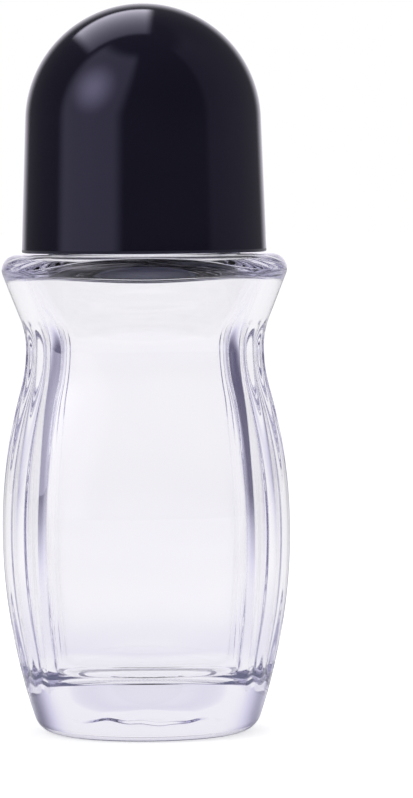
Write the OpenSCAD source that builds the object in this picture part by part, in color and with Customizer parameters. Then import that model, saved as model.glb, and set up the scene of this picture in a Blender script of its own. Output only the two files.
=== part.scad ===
// Roll on bottle, in millimetres.
// A thick clear glass bottle with a barrel belly, a waist, a round shoulder
// and fluted sides carries a plastic housing with a free ball in its neck.
// A glossy domed cap with a liner inside screws over the ball.
// The origin is the centre of the plane that the foot rests on. +Z is up,
// and the plain front panel faces -Y.

/* [Glass outline] */
// Width over the belly, the widest place of the glass
belly_w = 46; // [44:0.5:50]
// Height of the belly's widest place above the foot
belly_z = 32.2; // [29:0.2:35]
// Radius of the outline's arc below the belly
low_arc = 92; // [80:1:120]
// Height of the waist above the belly's widest place
waist_rise = 29.3; // [28:0.1:31]
// How far the waist lies inside the belly
waist_in = 3.95; // [3.3:0.05:4.6]
// Share of the waist's rise that the arc above the belly takes
high_share = 0.76; // [0.7:0.01:0.82]
// Height of the ledge on top of the shoulder above the waist
shoulder_rise = 14.7; // [13.6:0.1:16]
// How far the shoulder's bead stands out over the waist
shoulder_out = 3.7; // [3.3:0.1:4.2]
// Radius of the hollow arc above the waist, as a share of the largest that fits
flare_share = 0.65; // [0.5:0.01:0.75]
// Radius of the shoulder's round bead
bead_round = 2.4; // [2:0.1:3]
// Radius of the round corner at the foot
foot_round = 2.4; // [1.6:0.1:3.4]

/* [Panels and flutes] */
// Half angle of the plain panels at the waist
panel_angle = 51; // [48:0.5:54]
// How much smaller that half angle is at the belly
panel_narrow = 3.7; // [1:0.1:6]
// How far the middle of each panel is flattened
panel_flat = 4; // [3:0.1:4.4]
// Height above the waist at which the panels have turned round again
panel_over = 9.5; // [8:0.5:10.5]
// Height over which the flattening fades at the panel's upper end
panel_fade = 9; // [6:1:12]
// Height over which the flattening fades in above the round foot
panel_low_fade = 16; // [10:1:20]
// Number of flutes on each side between the panels
flutes = 6; // [5:1:7]
// Depth of a flute at the waist
flute_waist = 0.8; // [0.6:0.05:1]
// Depth of a flute at the belly
flute_belly = 0.25; // [0.15:0.05:0.5]
// Height above the waist of the round upper ends of the flutes
flute_over = 3.7; // [3:0.1:5]
// Length of a flute's round upper end
flute_top_run = 5; // [3:0.5:6]
// Height of the lower ends of the flutes
flute_low = 8; // [6:0.5:10]
// Length over which a flute runs out at its lower end
flute_low_run = 8; // [6:1:12]

/* [Inside of the glass] */
// Thickness of the glass at the ridges
glass_wall = 3.6; // [3.1:0.1:4]
// Height of the inner floor, which is the thickness of the base
floor_z = 8.6; // [7.6:0.2:11]
// Radius of the round corner above the floor
floor_round = 3; // [2:0.5:6]
// Distance from the ledge down to where the inside starts to narrow
narrow_drop = 3.8; // [3.6:0.1:5]
// Height over which the inside narrows to the neck
narrow_run = 3.2; // [3:0.1:3.8]
// How far that narrowing reaches inside the bore, to cross it cleanly
narrow_over = 0.8; // [0.6:0.1:1]
// Width of the hollow under the base
punt_w = 22; // [18:0.5:23]
// Height of the hollow under the base
punt_h = 1.2; // [0.8:0.1:1.6]
// Width of the slope around the hollow under the base
punt_slope = 0.8; // [0.6:0.1:1.6]

/* [Neck and housing] */
// Thickness of the glass in the neck
neck_wall = 2.2; // [1.8:0.1:2.4]
// Bevel of the neck's lip, outside and inside
lip_bevel = 0.5; // [0.3:0.1:0.7]
// Height that is kept free around the neck for the thread
thread_h = 0.9; // [0.6:0.1:1.1]
// How much narrower the bore in the neck is than the ball
bore_less = 0.2; // [0:0.1:0.6]
// Gap between the bore and the housing's sealing rings
plug_fit = 0.05; // [0.02:0.01:0.1]
// Height of the sealing rings over the housing's sleeve
ring_h = 0.3; // [0.2:0.05:0.4]
// Length of one sealing ring along the sleeve
ring_len = 1; // [0.8:0.1:1.2]
// Number of sealing rings
rings = 3; // [2:1:3]
// Distance from one sealing ring to the next
ring_pitch = 2.4; // [2:0.1:2.5]
// Distance from the lip down to the middle of the first sealing ring
ring_drop = 1.6; // [1.4:0.1:2]
// Length of the housing's sleeve inside the neck
plug_len = 9; // [8:0.5:11]
// Wall of the housing's sleeve
plug_wall = 1.1; // [0.9:0.1:1.3]
// Thickness of the housing's flange on the lip
flange_t = 1.6; // [1.2:0.1:2]
// How far the flange stays inside the neck's outer face
flange_inset = 0.3; // [0.2:0.1:0.6]
// Wall of the housing's cup around the ball
cup_wall = 1.3; // [1.1:0.1:1.5]
// Height of the cup's rim above the middle of the ball
rim_rise = 3; // [2:0.1:3.6]
// Height of the bevel on the outside of the rim
rim_bevel = 1.2; // [0.8:0.1:1.6]
// Flat top left on the rim beside the ball
rim_flat = 0.7; // [0.5:0.1:0.9]
// Wall of the bowl under the ball
bowl_wall = 1.2; // [1:0.1:1.4]
// Diameter of the feed hole in the bowl
feed_d = 10.5; // [8:0.5:12]

/* [Ball] */
// Diameter of the ball
ball_d = 25.4; // [25.2:0.1:25.6]
// Height of the ball's middle above the neck's lip
ball_rise = 6; // [5.6:0.1:6.6]
// Gap all round between the ball and its socket
ball_play = 0.08; // [0.05:0.01:0.1]

/* [Cap] */
// Height of the cap
cap_h = 39.5; // [38.5:0.5:41.5]
// How far the ball's middle lies below the middle of the cap's dome
ball_drop = 0.45; // [0.2:0.05:0.8]
// Gap between the cap's lower edge and the ledge
edge_gap = 0.3; // [0.2:0.1:0.6]
// How much higher the liner's lower edge is than the cap's
liner_lift = 0.8; // [0.4:0.1:1.6]
// Gap between the thread and the liner's bore
thread_gap = 0.3; // [0.25:0.05:0.4]
// Wall of the liner
liner_wall = 1; // [0.8:0.1:1.2]
// Gap between the liner and the cap's shell
liner_gap = 0.6; // [0.5:0.1:0.8]
// Wall of the cap's shell
cap_wall = 1.15; // [1:0.05:1.5]
// How far the cap's skirt widens from the dome down to its edge
skirt_flare = 0.75; // [0.4:0.05:1]
// Number of grip ribs between liner and shell
grips = 16; // [8:1:24]
// Width of a grip rib
grip_w = 1.2; // [0.8:0.1:1.6]
// Gap between a grip rib and the shell
grip_fit = 0.05; // [0.02:0.01:0.1]
// Distance that the grip ribs stay away from the ends of the skirt
grip_end = 2; // [1:0.5:4]
// Radius of the liner's ring over the ball
press_r = 5; // [4:0.5:6]
// Wall of the liner's ring over the ball
press_wall = 1; // [0.8:0.1:1.2]
// Gap between the liner's ring and the ball
press_gap = 0.3; // [0.25:0.05:0.5]

/* [Fineness] */
// Steps across one flute
flute_steps = 6; // [4:1:7]
// Steps across one panel
panel_steps = 12; // [8:2:16]
// Steps in each long arc of the outline
arc_steps = 8; // [6:1:10]
// Steps in each short arc of the outline
bend_steps = 5; // [4:1:6]
// Steps along each side of the hollow, between the panels
hollow_steps = 12; // [8:2:14]
// Steps around a turned part
round_steps = 128; // [64:32:192]

/* [Hidden] */
overrun = 1;
belly_r = belly_w / 2;
waist_r = belly_r - waist_in;
bead_r = waist_r + shoulder_out;
bore_r = (ball_d - bore_less) / 2;
punt_r = punt_w / 2;
feed_r = feed_d / 2;
ball_r = ball_d / 2;

// outline: one arc below the belly, one above it, one into the waist, one
// out of it, a straight flare that touches the next arc, and the bead
waist_z = belly_z + waist_rise;
ledge_z = waist_z + shoulder_rise;
bead_cr = bead_r - bead_round;
bead_z = ledge_z - bead_round;
both_arcs = (waist_in * waist_in + waist_rise * waist_rise) / (2 * waist_in);
high_arc = both_arcs * high_share;
waist_arc = both_arcs - high_arc;
join_z = belly_z + waist_rise * high_share;
reach_z = bead_z - waist_z;
bead_in = bead_cr - waist_r;
full_arc = (bead_in * bead_in + reach_z * reach_z - bead_round * bead_round) / (2 * shoulder_out);
flare_arc = full_arc * flare_share;
reach_r = flare_arc - bead_in;
flare_angle = atan2(reach_z, reach_r) - acos((flare_arc + bead_round) / norm([reach_r, reach_z]));
flare_z = waist_z + flare_arc * sin(flare_angle);
touch_z = bead_z - bead_round * sin(flare_angle);
flare_r = waist_r + flare_arc * (1 - cos(flare_angle));

function dip(arc, run) = arc - sqrt(max(arc * arc - run * run, 0));
function corner(z) = z < foot_round ? dip(foot_round, foot_round - z) : 0;
function outline(z) =
    z < belly_z ? belly_r - dip(low_arc, belly_z - z) - corner(z) :
    z < join_z ? belly_r - dip(high_arc, z - belly_z) :
    z < waist_z ? waist_r + dip(waist_arc, waist_z - z) :
    z < flare_z ? waist_r + dip(flare_arc, z - waist_z) :
    z < touch_z ? flare_r + (z - flare_z) * tan(flare_angle) :
    bead_r - dip(bead_round, min(abs(z - bead_z), bead_round));

// flutes and panels: each column of points keeps its place in its flute
panel_top = waist_z + panel_over;
flute_top = waist_z + flute_over;
run_z = flute_top - flute_top_run;
function ease(t) = t <= 0 ? 0 : t >= 1 ? 1 : t * t * (3 - 2 * t);
function rest(t) = 1 - pow(min(max(t, 0), 1), 2);
function panel_half(z) =
    panel_angle - panel_narrow * ease((outline(z) - waist_r) / waist_in) * ease((panel_top - z) / panel_fade);
function panel_cut(share, z) =
    panel_flat * (1 - share * share) * ease((panel_top - z) / panel_fade) * ease(z / panel_low_fade);
function flute_depth(z) =
    (flute_belly + (flute_waist - flute_belly) * ease((belly_r - outline(z)) / waist_in))
    * rest((z - run_z) / flute_top_run) * rest((flute_low + flute_low_run - z) / flute_low_run);
function flute_cut(share, z) = flute_depth(z) * (1 - cos(360 * share * flutes)) / 2;

// inside of the glass: the outline moved in by the wall, with a round floor
// and a smooth way into the neck
narrow_z = ledge_z - narrow_drop;
function hollow_r(z) =
    let (into = ease((z - narrow_z) / narrow_run))
        (outline(z) - glass_wall) * (1 - into) + (bore_r - narrow_over) * into
        - (z < floor_z + floor_round ? dip(floor_round, floor_z + floor_round - z) : 0);

// four runs of columns: front panel, right side, back panel, left side
side_steps = flutes * flute_steps;
panel_shares = [for (i = [0 : panel_steps - 1]) 2 * i / panel_steps - 1];
function shares(n) = [for (i = [0 : n - 1]) i / n];
function point(r, a, z) = [r * sin(a), -r * cos(a), z];
function panel_points(turn, z, r) =
    [for (share = panel_shares) point(r - panel_cut(share, z), turn + share * panel_half(z), z)];
function side_at(turn, z, share) = turn + panel_half(z) + share * (180 - 2 * panel_half(z));
function body_side(turn, z) =
    [for (share = shares(side_steps)) point(outline(z) - flute_cut(share, z), side_at(turn, z, share), z)];
function hollow_side(turn, z) =
    [for (share = shares(hollow_steps)) point(hollow_r(z), side_at(turn, z, share), z)];
function body_ring(z) =
    concat(panel_points(0, z, outline(z)), body_side(0, z), panel_points(180, z, outline(z)), body_side(180, z));
function hollow_ring(z) =
    concat(panel_points(0, z, hollow_r(z)), hollow_side(0, z), panel_points(180, z, hollow_r(z)), hollow_side(180, z));
function steps(from, to, n) = [for (i = [0 : n - 1]) from + (to - from) * i / n];

body_levels = concat(
    [for (i = [0 : bend_steps - 1]) foot_round * (1 - cos(90 * i / bend_steps))],
    steps(foot_round, belly_z, arc_steps),
    steps(belly_z, run_z, arc_steps),
    steps(run_z, flute_top, bend_steps),
    steps(flute_top, touch_z, bend_steps),
    [for (i = [0 : arc_steps]) bead_z + bead_round * sin(-flare_angle + (90 + flare_angle) * i / arc_steps)]
);
hollow_levels = concat(
    [for (i = [0 : bend_steps - 1]) floor_z + floor_round * (1 - cos(90 * i / bend_steps))],
    steps(floor_z + floor_round, belly_z, arc_steps),
    steps(belly_z, waist_z, arc_steps),
    steps(waist_z, narrow_z, bend_steps),
    steps(narrow_z, narrow_z + narrow_run, arc_steps),
    [narrow_z + narrow_run]
);

// a closed solid through rings of points, one ring above the other
module loft(rings) {
    n = len(rings[0]);
    polyhedron(
        points = [for (ring = rings) each ring],
        faces = concat(
            [[for (k = [0 : n - 1]) k]],
            [for (j = [0 : len(rings) - 2]) for (k = [0 : n - 1])
                let (a = j * n + k, b = j * n + (k + 1) % n)
                    each [[a, a + n, b + n], [a, b + n, b]]],
            [[for (k = [n - 1 : -1 : 0]) (len(rings) - 1) * n + k]]
        )
    );
}

// cap: liner, shell and the angle of the skirt that touches the dome
neck_r = bore_r + neck_wall;
liner_in = neck_r + thread_h + thread_gap;
liner_r = liner_in + liner_wall;
shell_in = liner_r + liner_gap;
dome_r = shell_in + cap_wall;
edge_z = ledge_z + edge_gap;
dome_z = edge_z + cap_h - dome_r;
liner_z = edge_z + liner_lift;
skirt_r = dome_r + skirt_flare;
skirt_h = dome_z - edge_z;
skirt_angle = acos(dome_r / norm([skirt_r, skirt_h])) - atan2(skirt_h, skirt_r);

// ball, neck and housing
ball_z = dome_z - ball_drop;
lip_z = ball_z - ball_rise;
socket_r = ball_r + ball_play;
cup_r = socket_r + cup_wall;
rim_z = ball_z + rim_rise;
rim_in_r = sqrt(socket_r * socket_r - rim_rise * rim_rise);
ring_r = bore_r - plug_fit;
plug_r = ring_r - ring_h;
plug_z = lip_z - plug_len;
flange_r = neck_r - flange_inset;

// a solid with a straight skirt that runs smoothly into a dome
module domed(r, low_z) {
    top_z = dome_z + r * sin(skirt_angle);
    top_r = r * cos(skirt_angle);
    foot_r = top_r + (top_z - low_z) * tan(skirt_angle);
    translate([0, 0, low_z])
        cylinder(h = top_z - low_z, r1 = foot_r, r2 = top_r, $fn = round_steps);
    intersection() {
        translate([0, 0, dome_z])
            sphere(r = r, $fn = round_steps);
        translate([0, 0, top_z])
            cylinder(h = r, r = r, $fn = round_steps);
    }
}

module glass_bottle() {
    color([0.9, 0.9, 0.95, 0.4])
        difference() {
            union() {
                loft([for (z = body_levels) body_ring(z)]);
                translate([0, 0, bead_z])
                    cylinder(h = lip_z - lip_bevel - bead_z, r = neck_r, $fn = round_steps);
                translate([0, 0, lip_z - lip_bevel])
                    cylinder(h = lip_bevel, r1 = neck_r, r2 = neck_r - lip_bevel, $fn = round_steps);
            }
            // the room for the liquid
            loft([for (z = hollow_levels) hollow_ring(z)]);
            // the bore of the neck
            translate([0, 0, narrow_z])
                cylinder(h = lip_z - narrow_z + overrun, r = bore_r, $fn = round_steps);
            translate([0, 0, lip_z - lip_bevel])
                cylinder(h = lip_bevel, r1 = bore_r, r2 = bore_r + lip_bevel, $fn = round_steps);
            // the hollow under the base
            cylinder(h = punt_h, r1 = punt_r, r2 = punt_r - punt_slope, $fn = round_steps);
        }
}

module ball_housing() {
    color([0.93, 0.93, 0.91])
        difference() {
            union() {
                // the sleeve with its sealing rings
                translate([0, 0, plug_z])
                    cylinder(h = plug_len, r = plug_r, $fn = round_steps);
                for (i = [0 : rings - 1])
                    translate([0, 0, lip_z - ring_drop - i * ring_pitch]) {
                        cylinder(h = ring_len / 2, r1 = ring_r, r2 = plug_r, $fn = round_steps);
                        mirror([0, 0, 1])
                            cylinder(h = ring_len / 2, r1 = ring_r, r2 = plug_r, $fn = round_steps);
                    }
                // the flange on the lip
                translate([0, 0, lip_z])
                    cylinder(h = flange_t, r = flange_r, $fn = round_steps);
                // the cup around the ball
                translate([0, 0, lip_z])
                    cylinder(h = rim_z - rim_bevel - lip_z, r = cup_r, $fn = round_steps);
                translate([0, 0, rim_z - rim_bevel])
                    cylinder(h = rim_bevel, r1 = cup_r, r2 = rim_in_r + rim_flat, $fn = round_steps);
            }
            // the socket
            translate([0, 0, ball_z])
                sphere(r = socket_r, $fn = round_steps);
            // the room under the bowl
            difference() {
                translate([0, 0, plug_z - overrun])
                    cylinder(h = plug_len + overrun, r = plug_r - plug_wall, $fn = round_steps);
                translate([0, 0, ball_z])
                    sphere(r = socket_r + bowl_wall, $fn = round_steps);
            }
            // the feed hole
            translate([0, 0, plug_z - overrun])
                cylinder(h = ball_z - plug_z, r = feed_r, $fn = round_steps);
        }
}

module roller_ball() {
    color([0.96, 0.96, 0.95])
        translate([0, 0, ball_z])
            sphere(r = ball_r, $fn = round_steps);
}

module inner_cap() {
    color([0.13, 0.13, 0.15]) {
        difference() {
            union() {
                translate([0, 0, liner_z])
                    cylinder(h = dome_z - liner_z, r = liner_r, $fn = round_steps);
                intersection() {
                    translate([0, 0, dome_z])
                        sphere(r = liner_r, $fn = round_steps);
                    translate([0, 0, dome_z])
                        cylinder(h = liner_r, r = liner_r, $fn = round_steps);
                }
                // the grip ribs
                intersection() {
                    domed(shell_in - grip_fit, edge_z);
                    for (i = [0 : grips - 1])
                        rotate([0, 0, 360 * i / grips])
                            translate([liner_in + liner_wall / 2, -grip_w / 2, liner_z + grip_end])
                                cube([skirt_r - liner_in, grip_w, dome_z - liner_z - 2 * grip_end]);
                }
            }
            translate([0, 0, liner_z - overrun])
                cylinder(h = dome_z - liner_z + overrun, r = liner_in, $fn = round_steps);
            intersection() {
                translate([0, 0, dome_z])
                    sphere(r = liner_in, $fn = round_steps);
                translate([0, 0, dome_z])
                    cylinder(h = liner_r, r = liner_in, $fn = round_steps);
            }
        }
        // the ring that holds the ball down
        difference() {
            translate([0, 0, ball_z])
                cylinder(h = dome_z + liner_in - ball_z, r = press_r + press_wall / 2, $fn = round_steps);
            translate([0, 0, ball_z - overrun])
                cylinder(h = dome_z + liner_r - ball_z, r = press_r - press_wall / 2, $fn = round_steps);
            translate([0, 0, ball_z])
                sphere(r = ball_r + press_gap, $fn = round_steps);
        }
    }
}

module outer_cap() {
    color([0.07, 0.07, 0.1])
        difference() {
            domed(dome_r, edge_z);
            domed(shell_in, edge_z - overrun);
        }
}

glass_bottle();
ball_housing();
roller_ball();
inner_cap();
outer_cap();
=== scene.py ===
"""Roll on bottle: fluted glass, ball in its housing, and a glossy domed cap.

Sizes are in millimetres in the shape functions and become metres when a mesh
is made. The glass, the housing, the ball, the liner and the shell each stand
for the solid of the same name.
"""

import math

import bpy
import numpy as np
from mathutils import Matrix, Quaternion, Vector


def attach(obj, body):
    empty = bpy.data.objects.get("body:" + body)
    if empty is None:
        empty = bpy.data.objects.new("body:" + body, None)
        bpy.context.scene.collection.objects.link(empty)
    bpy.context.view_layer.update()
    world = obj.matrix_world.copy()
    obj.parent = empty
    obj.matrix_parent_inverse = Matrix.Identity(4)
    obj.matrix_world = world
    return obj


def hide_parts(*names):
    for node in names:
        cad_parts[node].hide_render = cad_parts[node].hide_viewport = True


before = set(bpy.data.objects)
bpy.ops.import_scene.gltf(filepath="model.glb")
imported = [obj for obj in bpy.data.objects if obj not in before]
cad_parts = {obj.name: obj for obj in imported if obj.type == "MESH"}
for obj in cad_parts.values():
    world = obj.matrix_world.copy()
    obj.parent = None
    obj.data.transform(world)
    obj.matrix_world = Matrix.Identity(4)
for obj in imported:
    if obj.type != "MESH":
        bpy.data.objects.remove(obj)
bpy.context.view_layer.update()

# outline of the glass
BELLY_R, BELLY_Z = 23.0, 32.2
WAIST_IN, WAIST_RISE = 3.95, 29.3
SHOULDER_OUT, SHOULDER_RISE = 3.7, 14.7
LOW_ARC, HIGH_SHARE, FLARE_SHARE = 92.0, 0.76, 0.65
BEAD_ROUND, FOOT_ROUND = 2.4, 2.4
WAIST_R, WAIST_Z = BELLY_R - WAIST_IN, BELLY_Z + WAIST_RISE
BEAD_R, LEDGE_Z = WAIST_R + SHOULDER_OUT, WAIST_Z + SHOULDER_RISE

# panels and flutes
PANEL_ANGLE, PANEL_NARROW, PANEL_FLAT = 51.0, 3.7, 4.0
PANEL_TOP, PANEL_FADE, PANEL_LOW_FADE = WAIST_Z + 9.5, 9.0, 16.0
FLUTES, FLUTE_WAIST, FLUTE_BELLY = 6, 0.8, 0.25
FLUTE_TOP, FLUTE_TOP_RUN = WAIST_Z + 3.7, 5.0
FLUTE_LOW, FLUTE_LOW_RUN = 8.0, 8.0
POLISH, INNER_POLISH, INSET = 2.0, 7.0, 0.02

# inside of the glass and the hollow under it
GLASS_WALL, FLOOR_Z, FLOOR_ROUND = 3.6, 8.6, 3.0
NARROW_Z, NARROW_RUN, NARROW_OVER = LEDGE_Z - 3.8, 3.2, 0.8
NARROW_LIFT, NARROW_SPAN = 0.7, 50.0
PUNT_R, PUNT_H, PUNT_SLOPE = 11.0, 1.2, 0.8

# uneven mark of the mould, low on the front, in metres
MARK_Z, MARK_HALF, MARK_WIDE, MARK_SWAY = 0.0029, 0.0128, 0.0008, 0.0014
MARK_H, MARK_MIDDLE = 13.0, 0.4

# neck, housing and ball
LIP_Z = LEDGE_Z + 14.6
BORE_R, NECK_R = 12.6, 14.8
BALL_R, BALL_Z = 12.7, LIP_Z + 6.0
SOCKET_R = BALL_R + 0.08
CUP_R = SOCKET_R + 1.3
RIM_Z = BALL_Z + 3.0
RING_R = BORE_R - 0.05
PLUG_R, PLUG_IN, PLUG_Z = RING_R - 0.3, RING_R - 1.4, LIP_Z - 9.0
FLANGE_R, FLANGE_T = NECK_R - 0.3, 1.6
BOWL_R, FEED_R = SOCKET_R + 1.2, 5.25

# cap
THREAD_H, THREAD_PITCH = 0.9, 3.2
LINER_IN, LINER_R = 16.0, 17.0
SHELL_IN, DOME_R = 17.6, 18.75
DOME_Z = 116.0 - DOME_R
EDGE_Z = LEDGE_Z + 0.3
SKIRT_R = DOME_R + 0.75
PRESS_R, PRESS_WALL, PRESS_GAP = 5.0, 1.0, 0.3
RIBS, RIB_HALF, RIB_SIDE, RIB_END, RIB_RUN, RIB_GAP = 16, 0.75, 0.3, 2.0, 0.6, 0.05
SHELL_LEAN = 0.036


# Shapes

def dip(arc, run):
    """How far an arc has fallen from its highest point at the distance run."""
    return arc - np.sqrt(np.maximum(arc * arc - run * run, 0))


def ease(t):
    """Smooth step from 0 to 1."""
    t = np.clip(t, 0, 1)
    return t * t * (3 - 2 * t)


BOTH_ARCS = (WAIST_IN**2 + WAIST_RISE**2) / (2 * WAIST_IN)
HIGH_ARC = BOTH_ARCS * HIGH_SHARE
WAIST_ARC = BOTH_ARCS - HIGH_ARC
JOIN_Z = BELLY_Z + WAIST_RISE * HIGH_SHARE
BEAD_Z = LEDGE_Z - BEAD_ROUND
BEAD_IN = BEAD_R - BEAD_ROUND - WAIST_R
REACH_Z = BEAD_Z - WAIST_Z
FLARE_ARC = FLARE_SHARE * (BEAD_IN**2 + REACH_Z**2 - BEAD_ROUND**2) / (2 * SHOULDER_OUT)
REACH_R = FLARE_ARC - BEAD_IN
FLARE_ANGLE = math.atan2(REACH_Z, REACH_R) - math.acos((FLARE_ARC + BEAD_ROUND) / math.hypot(REACH_R, REACH_Z))
FLARE_Z = WAIST_Z + FLARE_ARC * math.sin(FLARE_ANGLE)
FLARE_R = WAIST_R + FLARE_ARC * (1 - math.cos(FLARE_ANGLE))
TOUCH_Z = BEAD_Z - BEAD_ROUND * math.sin(FLARE_ANGLE)


def outline(z):
    """Radius of the glass at height z: two belly arcs, two waist arcs, a
    straight flare and the bead's circle, each touching the next, less the
    round corner at the foot."""
    foot = np.where(z < FOOT_ROUND, dip(FOOT_ROUND, FOOT_ROUND - z), 0)
    return np.select(
        [z < BELLY_Z, z < JOIN_Z, z < WAIST_Z, z < FLARE_Z, z < TOUCH_Z],
        [
            BELLY_R - dip(LOW_ARC, BELLY_Z - z) - foot,
            BELLY_R - dip(HIGH_ARC, z - BELLY_Z),
            WAIST_R + dip(WAIST_ARC, WAIST_Z - z),
            WAIST_R + dip(FLARE_ARC, z - WAIST_Z),
            FLARE_R + (z - FLARE_Z) * math.tan(FLARE_ANGLE),
        ],
        BEAD_R - dip(BEAD_ROUND, np.minimum(np.abs(z - BEAD_Z), BEAD_ROUND)),
    )


def panel_half(z):
    """Half angle of the plain panels, smaller where the glass is wider."""
    wide = ease((outline(z) - WAIST_R) / WAIST_IN)
    return PANEL_ANGLE - PANEL_NARROW * wide * ease((PANEL_TOP - z) / PANEL_FADE)


def flattened(angle, z):
    """How far the panels lie inside the round outline: a parabola across
    each panel, which fades at its upper and lower ends."""
    side = np.abs((angle + 90) % 180 - 90)
    fade = ease((PANEL_TOP - z) / PANEL_FADE) * ease(z / PANEL_LOW_FADE)
    return PANEL_FLAT * (1 - np.minimum(side / panel_half(z), 1) ** 2) * fade


def carved(angle, z):
    """Depth cut into the round outline at an angle from the front. A cosine
    wave runs across the flutes; it is deeper where the glass is narrower and
    rises to nothing at both ends. The panels are flattened."""
    half = panel_half(z)
    side = np.abs((angle + 90) % 180 - 90)
    top = 1 - np.clip((z - FLUTE_TOP + FLUTE_TOP_RUN) / FLUTE_TOP_RUN, 0, 1) ** 2
    low = 1 - np.clip((FLUTE_LOW + FLUTE_LOW_RUN - z) / FLUTE_LOW_RUN, 0, 1) ** 2
    depth = FLUTE_BELLY + (FLUTE_WAIST - FLUTE_BELLY) * ease((BELLY_R - outline(z)) / WAIST_IN)
    share = (side - half) / (180 - 2 * half) * FLUTES
    flute = depth * top * low * (0.5 - 0.5 * np.cos(2 * np.pi * share))
    return np.where(side < half, flattened(angle, z), flute)


def polished(shape, angle, z, reach):
    """A shape's depth after fire polishing: a weighted mean over the reach,
    in degrees, and over a millimetre of height, which rounds the ridges."""
    total = 0
    for da, wa in zip((-reach, -reach / 2, 0, reach / 2, reach), (1, 4, 6, 4, 1)):
        for dz, wz in zip((-0.5, 0, 0.5), (1, 2, 1)):
            total = total + shape(angle + da, z + dz) * (wa * wz / 64)
    return total


def columns(z, panel_steps=30, flute_steps=16):
    """Angles of the grid's columns at the heights z: even steps over the
    panels and over the flutes, so that a ridge keeps its own column."""
    half = panel_half(z)[:, None]
    panel = np.linspace(-1, 1, panel_steps, endpoint=False) * half
    flutes = half + np.linspace(0, 1, FLUTES * flute_steps, endpoint=False) * (180 - 2 * half)
    return np.concatenate([panel, flutes, panel + 180, flutes + 180], axis=1)


def thread(angle, z, low, turns, height):
    """Height of a right-handed screw ridge: the distance along the axis to
    the nearest turn of the helix sets a round-topped profile, which fades at
    both ends of the ridge."""
    turn = angle / 360 + np.round((z - low) / THREAD_PITCH - angle / 360)
    off = np.abs(z - low - turn * THREAD_PITCH)
    ends = ease(turn / 0.1) * ease((turns - turn) / 0.1)
    return height * ease((0.95 - off) / 0.6) * ends * (turn > 0) * (turn < turns)


def arc(centre_r, centre_z, radius, start, end, steps):
    """Points of a circle's arc, in (radius, height), angles from +r to +z."""
    a = np.radians(np.linspace(start, end, steps))
    return np.stack([centre_r + radius * np.cos(a), centre_z + radius * np.sin(a)], axis=1)


def line(start, end, steps):
    """Points of a straight line, in (radius, height)."""
    t = np.linspace(0, 1, steps)[:, None]
    return np.array(start) * (1 - t) + np.array(end) * t


def rounded(corners, steps=5):
    """A chain of (radius, height, rounding) corners, where each corner is
    swapped for an arc that touches both of its sides."""
    points = []
    for i, (r, z, fillet) in enumerate(corners):
        here = np.array([r, z])
        if not fillet:
            points.append(here[None])
            continue
        back = np.array(corners[i - 1][:2]) - here
        on = np.array(corners[(i + 1) % len(corners)][:2]) - here
        back, on = back / np.linalg.norm(back), on / np.linalg.norm(on)
        half = math.acos(np.clip(back @ on, -1, 1)) / 2
        middle = here + (back + on) / np.linalg.norm(back + on) * fillet / math.sin(half)
        first = here + back * fillet / math.tan(half) - middle
        last = here + on * fillet / math.tan(half) - middle
        t = np.linspace(0, 1, steps)[:, None]
        spread = math.pi - 2 * half
        turning = first * np.sin((1 - t) * spread) + last * np.sin(t * spread)
        points.append(middle + turning / math.sin(spread))
    return np.concatenate(points)


def skin(name, radius, height, angle, closed):
    """A mesh from a grid of cylinder coordinates. Columns always join up
    around the axis. Rows join up too when closed; else the first and last
    row are poles, each a single point."""
    rows, count = radius.shape
    a = np.radians(angle)
    points = np.stack([radius * np.sin(a), -radius * np.cos(a), height], axis=2) * 0.001
    place = np.arange(rows * count).reshape(rows, count)
    if closed:
        verts = points.reshape(-1, 3)
        upper, lower = place, np.roll(place, -1, axis=0)
        fans = []
    else:
        inner = points[1:-1].reshape(-1, 3)
        verts = np.concatenate([inner, points[:1, 0], points[-1:, 0]])
        place = place[:-2]
        upper, lower = place[:-1], place[1:]
        first, last = place[0], place[-1]
        poles = len(inner) + np.zeros(count, int)
        fans = [
            np.stack([poles, first, np.roll(first, -1)], axis=1),
            np.stack([poles + 1, np.roll(last, -1), last], axis=1),
        ]
    quads = np.stack([upper, lower, np.roll(lower, -1, axis=1), np.roll(upper, -1, axis=1)], axis=2)
    quads = quads.reshape(-1, 4)
    flat = np.concatenate([verts[quads[:, [0, 1, 2]]], verts[quads[:, [0, 2, 3]]]])
    if np.einsum("ij,ij->i", flat[:, 0], np.cross(flat[:, 1], flat[:, 2])).sum() < 0:
        quads = quads[:, ::-1]
        fans = [fan[:, ::-1] for fan in fans]
    faces = quads.tolist() + [face for fan in fans for face in fan.tolist()]
    mesh = bpy.data.meshes.new(name)
    mesh.from_pydata(verts.tolist(), [], faces)
    mesh.shade_smooth()
    piece = bpy.data.objects.new(name, mesh)
    bpy.context.scene.collection.objects.link(piece)
    return piece


def turned(name, profile, closed, count=192, change=None):
    """A profile of (radius, height) points carried around the axis. change
    gives what is added to the radius at each angle and place."""
    angle = np.broadcast_to(np.linspace(0, 360, count, endpoint=False), (len(profile), count))
    radius = np.broadcast_to(profile[:, :1], angle.shape)
    height = np.broadcast_to(profile[:, 1:], angle.shape)
    if change is not None:
        radius = radius + change(angle, radius, height)
    return skin(name, radius, height, angle, closed)


# Pieces

def inside_r(angle, z):
    """Radius of the inside before the panels are flattened: the outline less
    the wall, which narrows to the neck under the ledge, from a little higher
    up at the sides, less the rounding at the floor."""
    side = np.abs((angle + 90) % 180 - 90)
    start = NARROW_Z + NARROW_LIFT * ease(side / NARROW_SPAN)
    into = ease((z - start) / (NARROW_Z + NARROW_RUN - start))
    bend = np.where(z < FLOOR_Z + FLOOR_ROUND, dip(FLOOR_ROUND, FLOOR_Z + FLOOR_ROUND - z), 0)
    radius = (outline(z) - GLASS_WALL) * (1 - into) + (BORE_R - NARROW_OVER) * into - bend
    return np.maximum(radius, np.where(z > NARROW_Z, BORE_R, 0))


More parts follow.
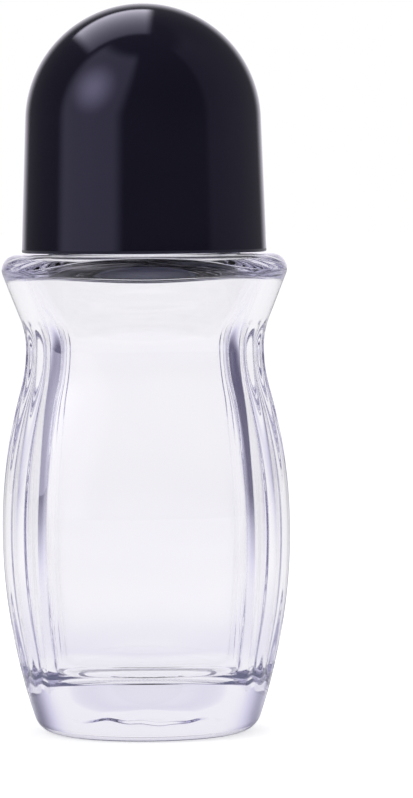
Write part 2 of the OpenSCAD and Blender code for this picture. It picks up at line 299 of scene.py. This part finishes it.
def make_glass():
    """Rows from the hollow's middle under the base, around the foot, up the
    fluted body, over the ledge, up the threaded neck, down the bore and the
    inside, to the middle of the floor."""
    foot_r = float(outline(np.array(0.0)))
    below = rounded([
        (0, PUNT_H, 0),
        (PUNT_R / 2, PUNT_H, 0),
        (PUNT_R - PUNT_SLOPE, PUNT_H, 0.4),
        (PUNT_R, 0, 0.4),
        (foot_r - 0.4, 0, 0),
    ])
    low = FOOT_ROUND * (1 - np.cos(np.radians(np.linspace(0, 90, 10))))
    body_z = np.concatenate([
        low,
        np.linspace(FOOT_ROUND, 58, 84)[1:],
        np.linspace(58, 67, 28)[1:],
        np.linspace(67, TOUCH_Z, 9)[1:],
        BEAD_Z + BEAD_ROUND * np.sin(np.linspace(-FLARE_ANGLE, math.pi / 2, 18)[1:]),
    ])
    angle = columns(body_z)
    body_h = np.broadcast_to(body_z[:, None], angle.shape)
    body_r = outline(body_h) - polished(carved, angle, body_h, POLISH) - INSET
    ledge_r = float(outline(np.array(LEDGE_Z)))

    neck = rounded([
        (ledge_r - 0.6, LEDGE_Z, 0),
        (NECK_R, LEDGE_Z, 0.7),
        (NECK_R, LEDGE_Z + 2.4, 0),
    ])
    threaded = line((NECK_R, LEDGE_Z + 2.7), (NECK_R, LIP_Z - 2.4), 34)
    lip = rounded([
        (NECK_R, LIP_Z - 2.0, 0),
        (NECK_R, LIP_Z, 0.7),
        (BORE_R, LIP_Z, 0.6),
        (BORE_R, LIP_Z - 2.0, 0),
    ])
    bore = line((BORE_R, LIP_Z - 4.0), (BORE_R, NARROW_Z + NARROW_RUN + 0.3), 4)
    inner_z = np.concatenate([
        np.linspace(NARROW_Z + NARROW_RUN, NARROW_Z, 30),
        np.linspace(NARROW_Z, FLOOR_Z + FLOOR_ROUND, 72)[1:],
        FLOOR_Z + FLOOR_ROUND * (1 - np.sin(np.radians(np.linspace(0, 90, 16))))[1:],
    ])
    inside = np.stack([inside_r(0, inner_z), inner_z], axis=1)
    floor = line((inside[-1, 0], FLOOR_Z), (0, FLOOR_Z), 10)[1:]

    above = np.concatenate([neck, threaded, lip, bore, inside, floor])
    top_angle = columns(np.full(len(above), LEDGE_Z))
    low_angle = columns(np.zeros(len(below)))
    above_r = np.broadcast_to(above[:, :1], top_angle.shape)
    above_h = np.broadcast_to(above[:, 1:], top_angle.shape)
    outer = slice(len(neck), len(neck) + len(threaded))
    hollow = slice(len(above) - len(floor) - len(inside), len(above) - len(floor))
    above_r = above_r.copy()
    above_r[hollow] = inside_r(top_angle[hollow], above_h[hollow])
    above_r[hollow] -= polished(flattened, top_angle[hollow], above_h[hollow], INNER_POLISH)
    above_r[outer] += thread(top_angle[outer], above_h[outer], LEDGE_Z + 4.0, 1.8, THREAD_H)
    radius = np.concatenate([np.broadcast_to(below[:, :1], low_angle.shape), body_r, above_r])
    height = np.concatenate([np.broadcast_to(below[:, 1:], low_angle.shape), body_h, above_h])
    return skin("glass_body", radius, height, np.concatenate([low_angle, angle, top_angle]), False)


def make_housing():
    """A closed profile: feed hole, bowl, sleeve with sealing rings, flange,
    cup and rim, then down the socket."""
    rings = []
    for i in reversed(range(3)):
        middle = LIP_Z - 1.6 - i * 2.4
        rings += [(PLUG_R, middle - 0.5, 0.1), (RING_R, middle - 0.1, 0.08), (RING_R, middle + 0.1, 0.08),
                  (PLUG_R, middle + 0.5, 0.1)]
    bowl_at_plug = BALL_Z - math.sqrt(BOWL_R**2 - PLUG_IN**2)
    bowl_at_feed = BALL_Z - math.sqrt(BOWL_R**2 - FEED_R**2)
    start = math.degrees(math.asin((bowl_at_plug - BALL_Z) / BOWL_R))
    end = math.degrees(math.asin((bowl_at_feed - BALL_Z) / BOWL_R))
    bowl = arc(0, BALL_Z, BOWL_R, end, start, 12)
    feed_z = BALL_Z - math.sqrt(SOCKET_R**2 - FEED_R**2)
    rim_r = math.sqrt(SOCKET_R**2 - 3.0**2)
    outer = rounded([
        (PLUG_IN, PLUG_Z + 2.0, 0),
        (PLUG_IN, PLUG_Z, 0.2),
        (PLUG_R, PLUG_Z, 0.4),
        *rings,
        (PLUG_R, LIP_Z, 0),
        (FLANGE_R, LIP_Z, 0.3),
        (FLANGE_R, LIP_Z + FLANGE_T, 0.4),
        (CUP_R, LIP_Z + FLANGE_T, 0.15),
        (CUP_R, RIM_Z - 1.2, 0.8),
        (rim_r + 0.7, RIM_Z, 0.25),
        (rim_r, RIM_Z, 0),
    ])
    socket = arc(0, BALL_Z, SOCKET_R, math.degrees(math.asin(3.0 / SOCKET_R)),
                 math.degrees(math.asin((feed_z - BALL_Z) / SOCKET_R)), 40)[1:]
    return turned("ball_socket", np.concatenate([bowl, outer, socket]), True)


def make_ball():
    """A sphere with the faint flat band that moulding leaves at its equator."""
    ball = arc(0, BALL_Z, BALL_R, -90, 90, 120)
    ball[0, 0] = ball[-1, 0] = 0
    seam = 0.012 * np.exp(-(((ball[:, 1] - BALL_Z) / 0.25) ** 2))
    ball[:, 0] -= seam
    return turned("ball", ball, False)


def make_liner():
    """A closed profile: inside of the sleeve with its thread, inside of the
    dome, the ring over the ball, then the outside, with grip ribs that stand
    out evenly around the sleeve."""
    low = EDGE_Z + 0.8
    ring_out, ring_in = PRESS_R + PRESS_WALL / 2, PRESS_R - PRESS_WALL / 2
    near = BALL_R + PRESS_GAP
    inner_top = math.degrees(math.acos(ring_out / LINER_IN))
    inner_cap = math.degrees(math.acos(ring_in / LINER_IN))
    within = np.concatenate([
        [[0.0, DOME_Z + LINER_IN]],
        arc(0, DOME_Z, LINER_IN, 89, inner_cap + 1, 8),
        rounded([
            (ring_in, DOME_Z + math.sqrt(LINER_IN**2 - ring_in**2), 0),
            (ring_in, BALL_Z + math.sqrt(near**2 - ring_in**2), 0.25),
            (ring_out, BALL_Z + math.sqrt(near**2 - ring_out**2), 0.25),
            (ring_out, DOME_Z + math.sqrt(LINER_IN**2 - ring_out**2), 0),
        ]),
        arc(0, DOME_Z, LINER_IN, inner_top - 1, 0, 28),
        line((LINER_IN, DOME_Z - 2.0), (LINER_IN, low + 0.8), 44),
        rounded([
            (LINER_IN, low + 0.5, 0),
            (LINER_IN, low, 0.3),
            (LINER_R, low, 0.3),
            (LINER_R, low + 0.5, 0),
        ]),
    ])
    outside = np.concatenate([
        line((LINER_R, low + 1.0), (LINER_R, DOME_Z), 24),
        arc(0, DOME_Z, LINER_R, 2, 89, 32),
        [[0.0, DOME_Z + LINER_R]],
    ])
    profile = np.concatenate([within, outside])
    inside = np.arange(len(profile))[:, None] < len(within)

    def change(angle, radius, height):
        screw = thread(angle, height, EDGE_Z + 4.9, 1.6, THREAD_H - 0.05)
        screw = np.where((np.abs(radius - LINER_IN) < 0.01) & inside, -screw, 0)
        pitch = 360 / RIBS
        beside = np.abs((angle + pitch / 2) % pitch - pitch / 2) * LINER_R * math.pi / 180
        room = SHELL_IN - RIB_GAP + (DOME_Z - height) * SHELL_LEAN - LINER_R
        ends = ease((height - low - RIB_END) / RIB_RUN) * ease((DOME_Z - RIB_END - height) / RIB_RUN)
        rib = room * ease((RIB_HALF - beside) / RIB_SIDE) * ends
        return screw + np.where((np.abs(radius - LINER_R) < 0.01) & ~inside, rib, 0)

    return turned("cap_liner", profile, False, 384, change)


def make_shell():
    """A closed profile: the outside of the dome, the skirt that touches it,
    the lower edge with its small roundings, and the inside again."""
    slope = math.acos(DOME_R / math.hypot(SKIRT_R, DOME_Z - EDGE_Z)) - math.atan2(DOME_Z - EDGE_Z, SKIRT_R)
    lean = math.degrees(slope)
    inner_skirt = SHELL_IN * math.cos(slope) + (DOME_Z + SHELL_IN * math.sin(slope) - EDGE_Z) * math.tan(slope)
    outer = arc(0, DOME_Z, DOME_R, 90, lean, 64)
    inner = arc(0, DOME_Z, SHELL_IN, lean, 90, 48)
    outer[0, 0] = inner[-1, 0] = 0
    skirt_top = (DOME_R * math.cos(slope), DOME_Z + DOME_R * math.sin(slope))
    inner_top = (SHELL_IN * math.cos(slope), DOME_Z + SHELL_IN * math.sin(slope))
    edge = rounded([
        (SKIRT_R - 0.6 * math.tan(slope), EDGE_Z + 0.6, 0),
        (SKIRT_R, EDGE_Z, 0.22),
        (inner_skirt, EDGE_Z, 0.22),
        (inner_skirt - 0.6 * math.tan(slope), EDGE_Z + 0.6, 0),
    ])
    profile = np.concatenate([
        outer,
        line(skirt_top, edge[0], 14)[1:],
        edge[1:],
        line(edge[-1], inner_top, 8)[1:],
        inner[1:],
    ])
    return turned("cap_shell", profile, False)


# Shader nodes

class Wire:
    """A number in a shader. + - * / on wires and numbers add Math nodes."""

    def __init__(self, tree, socket):
        self.tree, self.socket = tree, socket

    def maths(self, operation, left, right):
        made = self.tree.nodes.new("ShaderNodeMath")
        made.operation = operation
        for slot, value in zip(made.inputs, (left, right)):
            if isinstance(value, Wire):
                self.tree.links.new(value.socket, slot)
            else:
                slot.default_value = value
        return Wire(self.tree, made.outputs[0])

    def __add__(self, other):
        return self.maths("ADD", self, other)

    def __sub__(self, other):
        return self.maths("SUBTRACT", self, other)

    def __rsub__(self, other):
        return self.maths("SUBTRACT", other, self)

    def __mul__(self, other):
        return self.maths("MULTIPLY", self, other)

    def __truediv__(self, other):
        return self.maths("DIVIDE", self, other)

    __radd__ = __add__
    __rmul__ = __mul__


class Nodes:
    """A node tree. node() adds any node: its type, its settings, and then the
    values or wires of its sockets."""

    def __init__(self, tree):
        self.tree = tree
        tree.nodes.clear()

    def node(self, kind, settings=(), **values):
        made = self.tree.nodes.new("ShaderNode" + kind)
        for name, value in dict(settings).items():
            setattr(made, name, value)
        for name, value in values.items():
            slot = made.inputs[int(name[1:])] if name[1:].isdigit() else made.inputs[name.replace("_", " ")]
            if isinstance(value, Wire):
                self.tree.links.new(value.socket, slot)
            else:
                slot.default_value = value
        return made

    def wire(self, made, name=0):
        return Wire(self.tree, made.outputs[name])

    def noise(self, scale, detail=2.0, roughness=0.5):
        """Noise over the object's own coordinates, in metres."""
        where = self.wire(self.node("TexCoord"), "Object")
        return self.wire(self.node("TexNoise", Vector=where, Scale=scale, Detail=detail, Roughness=roughness))

    def smooth(self, value, start, end, first, last):
        """Goes smoothly from first to last while the value goes from start to
        end."""
        values = {"Value": value, "From_Min": start, "From_Max": end, "To_Min": first, "To_Max": last}
        return self.wire(self.node("MapRange", {"interpolation_type": "SMOOTHSTEP"}, **values))

    def power(self, value, exponent):
        return value.maths("POWER", value, exponent)

    def choose(self, share, other, value):
        """The value where the share is 1, the other where it is 0."""
        return self.wire(self.node("Mix", {"data_type": "FLOAT"}, Factor=share, _2=other, _3=value))

    def blend(self, share, first, second):
        """A colour between two colours."""
        return self.wire(self.node("Mix", {"data_type": "RGBA"}, Factor=share, _6=first, _7=second), 2)

    def ramp(self, value, stops):
        """Colours set along a value."""
        made = self.node("ValToRGB", Fac=value)
        band = made.color_ramp
        band.elements[0].position, band.elements[0].color = stops[0]
        band.elements[1].position, band.elements[1].color = stops[-1]
        for place, colour in stops[1:-1]:
            band.elements.new(place).color = colour
        return self.wire(made)


def plastic(name, dark, light, rough, rough_spread, grain, bump, **fixed):
    """A moulded plastic: two near tones mixed by broad noise, roughness that
    varies with finer noise, and a faint unevenness of the surface."""
    made = bpy.data.materials.new(name)
    made.use_nodes = True
    shade = Nodes(made.node_tree)
    broad = shade.noise(60.0)
    fine = shade.noise(grain, 4.0, 0.6)
    colour = shade.ramp(broad, [(0.3, (*dark, 1)), (0.7, (*light, 1))])
    uneven = shade.wire(shade.node("Bump", Strength=bump, Distance=0.0001, Height=fine), "Normal")
    body = shade.node("BsdfPrincipled", Base_Color=colour, Roughness=fine * rough_spread + rough,
                      Normal=uneven, **fixed)
    shade.node("OutputMaterial", Surface=shade.wire(body))
    return made


def mould_mark(shade):
    """Height of the uneven mark low on the front of the foot: a line that
    sways with noise and is stronger towards its ends."""
    where = shade.node("SeparateXYZ", Vector=shade.wire(shade.node("TexCoord"), "Object"))
    x, y, z = (shade.wire(where, i) for i in range(3))
    off = z - MARK_Z + (shade.noise(220.0, 0.0) - 0.5) * MARK_SWAY
    beside = x * x / MARK_HALF**2
    mark = shade.smooth(off * off, 0.0, MARK_WIDE**2, MARK_H, 0.0)
    mark = mark * shade.smooth(beside, 0.2, 0.6, MARK_MIDDLE, 1.0) * shade.smooth(beside, 0.75, 1.0, 1.0, 0.0)
    return mark * shade.smooth(y, -0.006, -0.003, 1.0, 0.0)


def clear_glass():
    """Flint glass: smooth transmission, a very faint tint that deepens with
    the way through the glass, the soft waviness of blown glass and the mark
    of the mould."""
    made = bpy.data.materials.new("clear_glass")
    made.use_nodes = True
    shade = Nodes(made.node_tree)
    waves = shade.noise(90.0, 1.0, 0.4)
    fine = shade.noise(400.0, 2.0)
    tone = shade.ramp(waves, [(0.3, (0.985, 0.985, 0.993, 1)), (0.7, (0.995, 0.995, 0.998, 1))])
    height = waves + mould_mark(shade)
    uneven = shade.wire(shade.node("Bump", Strength=0.12, Distance=0.0003, Height=height), "Normal")
    body = shade.node("BsdfPrincipled", Base_Color=tone, Roughness=fine * 0.012, Normal=uneven,
                      Transmission_Weight=1.0, IOR=1.52)
    tint = shade.node("VolumeAbsorption", Color=(0.50, 0.47, 0.72, 1), Density=7.0)
    shade.node("OutputMaterial", Surface=shade.wire(body), Volume=shade.wire(tint))
    return made


def dress(piece, material, body, slot, *nodes):
    """Gives a piece its material, the body it moves with and the solids that
    it stands for. The slot is not used."""
    piece.data.materials.append(material)
    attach(piece, body)
    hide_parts(*nodes)


natural = plastic("natural_plastic", (0.62, 0.62, 0.63), (0.68, 0.68, 0.69), 0.36, 0.12, 900.0, 0.08,
                  Subsurface_Weight=0.25, Subsurface_Scale=0.002)
liner_black = plastic("liner_plastic", (0.030, 0.032, 0.056), (0.040, 0.043, 0.072), 0.34, 0.12, 900.0, 0.08,
                     Specular_Tint=(0.60, 0.64, 1.0, 1))
ball_white = plastic("ball_plastic", (0.84, 0.84, 0.82), (0.88, 0.88, 0.86), 0.1, 0.08, 700.0, 0.03,
                     Subsurface_Weight=0.1, Subsurface_Scale=0.0015)
cap_black = plastic("cap_gloss", (0.0058, 0.0055, 0.0125), (0.0076, 0.0072, 0.0155), 0.06, 0.05, 1200.0, 0.02,
                    IOR=1.55, Specular_Tint=(0.70, 0.68, 1.0, 1))

dress(make_glass(), clear_glass(), "bottle", "clear_glass", "glass_bottle")
dress(make_housing(), natural, "bottle", "housing_plastic", "ball_housing")
dress(make_ball(), ball_white, "ball", "ball_plastic", "roller_ball")
dress(make_liner(), liner_black, "cap", "liner_plastic", "inner_cap")
dress(make_shell(), cap_black, "cap", "cap_gloss", "outer_cap")


# Studio, what is seen through glass: colours by the share of the backdrop's
# white, and the directions and places at which the share changes
TENT = [
    (0.0, (0.12, 0.11, 0.19, 1)),
    (0.4, (0.40, 0.385, 0.52, 1)),
    (0.75, (0.74, 0.72, 0.88, 1)),
    (1.0, (0.995, 0.985, 1.0, 1)),
]
SIDES, SIDE_SPAN, SIDE_DEEP = (0.46, 0.86), (-0.5, 0.5), (0.7, 1.0)
OVER, OVER_DEEP = (0.4, 0.9), 0.6
FAR, FAR_LIGHT = (0.0, 0.4), 0.65
# the floor seen through glass takes a painted shadow colour near the bottle, over a given reach, weaker right
# under the bottle
FLOOR_LIGHT, FLOOR_SHADOW_RUN, PAINTED_FLOOR_SHADOW = (0.04, 0.12), (0.05, 0.26), (0.83, 0.815, 0.90, 1)
FLOOR_EYE, UNDER_RUN, UNDER_SHARE = 0.25, (0.035, 0.075), 0.4
HIDDEN_TINT, INDOOR_TINT = (0.24, 0.245, 0.40, 1), (0.52, 0.52, 0.58, 1)

# floor and light for all other rays
FLOOR_R, FLOOR_PAPER, FLOOR_LIFT = 6.0, (0.86, 0.86, 0.87, 1), 0.62
PLAIN_LIGHT = 0.55

# what is seen in reflections: room, rim, panels, lamp and strip
MIRROR_TINT = (0.95, 0.91, 1.0, 1)
ROOM, ROOM_RISE, RIM, RIM_SPAN = (0.13, 0.10), (-0.2, 0.6), 0.9, (0.80, 0.98)
LEFT, LEFT_SPAN, LEFT_LEAN = 0.74, (-1.62, -1.38, -0.56, -0.33), 0.3
RIGHT, RIGHT_SPAN, RIGHT_REST = 0.15, (1.06, 1.22, 1.6, 2.6), 0.2
PANEL_END = (0.86, 0.95)
GLOW, GLOW_AT, GLOW_REACH = 2.5, (-0.715, -0.50, 0.488), 0.46
STRIP, STRIP_RISE = 0.75, 2.2
STRIP_ALONG, STRIP_ACROSS = (0.03, 0.12, 1.1, 1.35), (-0.86, -0.66, 0.02, 0.12)

# camera, in metres, with its roll in degrees
CAMERA_AT, CAMERA_AIM, CAMERA_LENS, CAMERA_ROLL = (0.0, -0.740, 0.089), (0.00975, 0.0, 0.0530), 209.5, -0.43


def surround(shade, share, ahead):
    """What is seen through glass, by the share of the backdrop's white: dark
    lilac at 0, and lighter again far to the sides."""
    return shade.ramp(share + (1.0 - share) * shade.smooth(ahead, *FAR, FAR_LIGHT, 0.0), TENT)


def make_floor():
    """A wide plain floor. It is lit as any pale surface is, and the camera
    sees it lifted to the backdrop's white. Through glass it is white behind
    the bottle, with a painted shadow around it that is weaker right under
    it, and dark at the sides and in front."""
    bpy.ops.mesh.primitive_circle_add(vertices=96, radius=FLOOR_R, fill_type="NGON")
    floor = bpy.context.object
    floor.name = "floor"
    made = bpy.data.materials.new("floor_paper")
    made.use_nodes = True
    shade = Nodes(made.node_tree)
    path = shade.node("LightPath")
    where = shade.node("SeparateXYZ", Vector=shade.wire(shade.node("TexCoord"), "Object"))
    x, y = shade.wire(where, "X"), shade.wire(where, "Y")
    away = shade.power(x * x + y * y, 0.5)
    ahead = (y + FLOOR_EYE) / (away + FLOOR_EYE)
    share = shade.smooth(ahead, *SIDES, 0.0, 1.0)
    share = share + (1.0 - share) * shade.smooth(away, *FLOOR_LIGHT, 1.0, 0.0)
    # painted shadow around the foot, seen only through glass, weaker right under the bottle
    near = shade.smooth(away, *FLOOR_SHADOW_RUN, 1.0, 0.0) * shade.smooth(away, *UNDER_RUN, UNDER_SHARE, 1.0)
    seen = shade.blend(near, surround(shade, share, ahead), PAINTED_FLOOR_SHADOW)
    seen = shade.blend(shade.wire(path, "Diffuse Depth"), seen, HIDDEN_TINT)
    paper = shade.wire(shade.node("BsdfDiffuse", Color=FLOOR_PAPER))
    lifted = shade.wire(shade.node("Emission", Strength=shade.wire(path, "Is Camera Ray") * FLOOR_LIFT))
    plain = shade.wire(shade.node("AddShader", _0=paper, _1=lifted))
    through = shade.wire(shade.node("Emission", Color=seen))
    shown = shade.node("MixShader", Fac=shade.wire(path, "Is Transmission Ray"), _1=plain, _2=through)
    shade.node("OutputMaterial", Surface=shade.wire(shown))
    floor.data.materials.append(made)


def make_world():
    """White for the camera. Through glass it is a white backdrop, darker at
    the sides, overhead and towards the camera, which draws the edges of the
    glass. Through glass and on to the hidden plastic it is a plain room,
    while the floor sends little there. In reflections it is a dim room with
    a tall soft panel and a lamp on the left, a faint panel on the right and a
    strip behind and above."""
    world = bpy.data.worlds.new("studio")
    bpy.context.scene.world = world
    world.use_nodes = True
    shade = Nodes(world.node_tree)
    split = shade.node("SeparateXYZ", Vector=shade.wire(shade.node("TexCoord"), "Generated"))
    x, y, up = (shade.wire(split, i) for i in range(3))
    path = shade.node("LightPath")
    side = shade.smooth(y, *SIDES, 1.0, 0.0) * shade.smooth(x, *SIDE_SPAN, *SIDE_DEEP)
    over = shade.smooth(up, *OVER, 0.0, OVER_DEEP)
    tent = surround(shade, (1.0 - side) * (1.0 - over), y)
    tent = shade.blend(shade.wire(path, "Diffuse Depth"), tent, INDOOR_TINT)

    turn = x.maths("ARCTAN2", x, y * -1.0)
    room = shade.smooth(up, *ROOM_RISE, *ROOM) + shade.smooth(y, *RIM_SPAN, 0.0, RIM)
    left = shade.smooth(turn, *LEFT_SPAN[:2], 0.0, LEFT)
    left = left * shade.smooth(turn - up * LEFT_LEAN, *LEFT_SPAN[2:], 1.0, 0.0)
    right = shade.smooth(turn, *RIGHT_SPAN[:2], 0.0, RIGHT)
    right = right * shade.smooth(turn, *RIGHT_SPAN[2:], 1.0, RIGHT_REST)
    panels = (left + right) * shade.smooth(up, *PANEL_END, 1.0, 0.0)
    gap_x, gap_y, gap_up = x - GLOW_AT[0], y - GLOW_AT[1], up - GLOW_AT[2]
    gap = shade.power(gap_x * gap_x + gap_y * gap_y + gap_up * gap_up, 0.5)
    height = up.maths("MAXIMUM", up, 0.05)
    across, along = x / height, y / height
    strip = along * STRIP_RISE + STRIP
    for value, span in ((along, STRIP_ALONG), (across, STRIP_ACROSS)):
        strip = strip * shade.smooth(value, *span[:2], 0.0, 1.0) * shade.smooth(value, *span[2:], 1.0, 0.0)
    mirrored = room + panels + shade.smooth(gap, 0.0, GLOW_REACH, GLOW, 0.0) + strip

    straight = shade.wire(path, "Is Camera Ray") + shade.wire(path, "Is Transmission Ray")
    light = shade.choose(shade.wire(path, "Is Glossy Ray"), PLAIN_LIGHT, mirrored)
    light = shade.choose(straight, light, 1.0)
    colour = shade.blend(shade.wire(path, "Is Glossy Ray"), (1, 1, 1, 1), MIRROR_TINT)
    colour = shade.blend(shade.wire(path, "Is Transmission Ray"), colour, tent)
    back = shade.node("Background", Color=colour, Strength=light)
    shade.node("OutputWorld", Surface=shade.wire(back))


def lamp(name, azimuth, elevation, distance, size, radiance):
    """A soft box that faces the object. Azimuth is counted from the camera's
    side, positive to the right; radiance is the brightness of its face."""
    a, e = math.radians(azimuth), math.radians(elevation)
    made = bpy.data.lights.new(name, "AREA")
    made.shape, made.size, made.size_y = "RECTANGLE", *size
    made.energy = radiance * math.pi * size[0] * size[1]
    box = bpy.data.objects.new(name, made)
    away = np.array([math.sin(a) * math.cos(e), -math.cos(a) * math.cos(e), math.sin(e)])
    box.location = away * distance + np.array([0, 0, 0.06])
    box.rotation_mode = "QUATERNION"
    box.rotation_quaternion = Vector(away).to_track_quat("Z", "Y")
    box.visible_camera = box.visible_glossy = False
    box.visible_transmission = False
    bpy.context.scene.collection.objects.link(box)


def make_camera():
    """The photograph's view, looking slightly down, with the small roll that
    makes the bottle lean as it does there."""
    data = bpy.data.cameras.new("camera")
    data.lens = CAMERA_LENS
    camera = bpy.data.objects.new("camera", data)
    camera.location = CAMERA_AT
    camera.rotation_mode = "QUATERNION"
    level = (Vector(CAMERA_AIM) - camera.location).to_track_quat("-Z", "Y")
    camera.rotation_quaternion = level @ Quaternion((0, 0, 1), math.radians(CAMERA_ROLL))
    data.clip_start, data.clip_end = 0.05, 20
    bpy.context.scene.collection.objects.link(camera)
    bpy.context.scene.camera = camera


make_floor()
make_world()
lamp("soft_left", -64, 22, 0.55, (0.42, 0.55), 0.7)
lamp("soft_left_core", -58, 34, 0.50, (0.10, 0.12), 1.6)
lamp("soft_top", -25, 98, 0.42, (0.22, 0.22), 3.5)
lamp("soft_right", 80, 15, 0.6, (0.3, 0.5), 0.25)
make_camera()
bpy.context.scene.view_settings.view_transform = "Standard"
light_paths = bpy.context.scene.cycles
light_paths.max_bounces = light_paths.transmission_bounces = light_paths.glossy_bounces = 32
